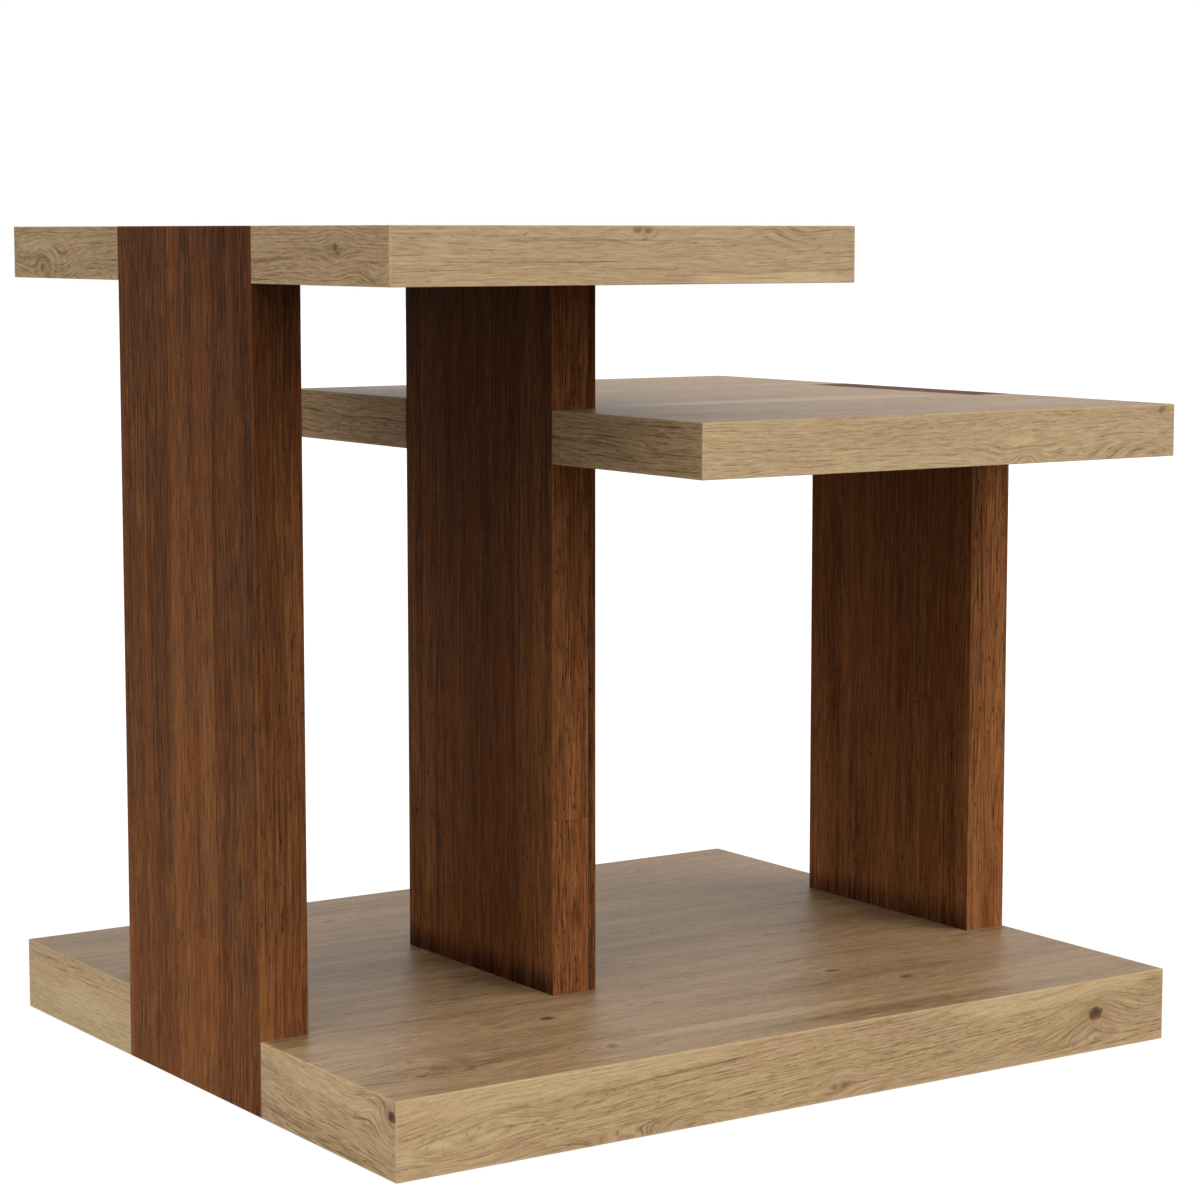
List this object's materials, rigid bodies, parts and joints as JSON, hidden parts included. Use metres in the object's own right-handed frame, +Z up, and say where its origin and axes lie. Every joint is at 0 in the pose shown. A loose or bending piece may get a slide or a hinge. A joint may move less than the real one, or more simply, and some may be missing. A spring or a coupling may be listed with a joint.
{
  "type": "tiered side table",
  "caption": "Tiered side table: thick oak base, offset oak top and lower oak shelf on walnut panel posts let into notches in the slabs.",
  "frame": {"origin": "on the floor, under the middle of the base", "axes": "+X to the right along the front edge, +Y to the back, +Z up"},
  "size_m": [0.66, 0.564, 0.6025],
  "materials": {
    "oak": "satin lacquered oak veneer",
    "walnut": "satin lacquered walnut veneer",
    "core_softwood": "raw planed softwood",
    "beech": "raw turned beech",
    "zinc_plated_steel": "zinc plated",
    "nylon": "moulded nylon"
  },
  "bodies": {
    "root": {"base_back_lipping": "oak", "base_cross_rails": "core_softwood", "base_front_lipping": "oak", "base_left_back_lipping": "oak", "base_left_front_lipping": "oak", "base_long_rails": "core_softwood", "base_lower_panel": "oak", "base_notch_cheeks": "core_softwood", "base_right_back_lipping": "oak", "base_right_front_lipping": "oak", "base_upper_panel": "oak", "cam_bolts": "zinc_plated_steel", "cam_locks": "zinc_plated_steel", "dowels": "beech", "glides": "nylon", "left_post_back_lipping": "walnut", "left_post_cap": "walnut", "left_post_end_blocks": "core_softwood", "left_post_front_lipping": "walnut", "left_post_inner_panel": "walnut", "left_post_outer_panel": "walnut", "left_post_stiles": "core_softwood", "middle_post_back_lipping": "walnut", "middle_post_end_blocks": "core_softwood", "middle_post_front_lipping": "walnut", "middle_post_left_panel": "walnut", "middle_post_right_panel": "walnut", "middle_post_stiles": "core_softwood", "right_post_back_lipping": "walnut", "right_post_cap": "walnut", "right_post_end_blocks": "core_softwood", "right_post_front_lipping": "walnut", "right_post_inner_panel": "walnut", "right_post_outer_panel": "walnut", "right_post_stiles": "core_softwood", "shelf_back_lipping": "oak", "shelf_cross_rails": "core_softwood", "shelf_front_lipping": "oak", "shelf_left_back_lipping": "oak", "shelf_left_front_lipping": "oak", "shelf_long_rails": "core_softwood", "shelf_lower_panel": "oak", "shelf_notch_cheeks": "core_softwood", "shelf_right_back_lipping": "oak", "shelf_right_front_lipping": "oak", "shelf_upper_panel": "oak", "threaded_inserts": "zinc_plated_steel", "tie_rod_nuts": "zinc_plated_steel", "tie_rods": "zinc_plated_steel", "top_back_lipping": "oak", "top_cross_rails": "core_softwood", "top_front_lipping": "oak", "top_left_back_lipping": "oak", "top_left_front_lipping": "oak", "top_long_rails": "core_softwood", "top_lower_panel": "oak", "top_notch_cheeks": "core_softwood", "top_right_lipping": "oak", "top_upper_panel": "oak"}
  },
  "joints": []
}
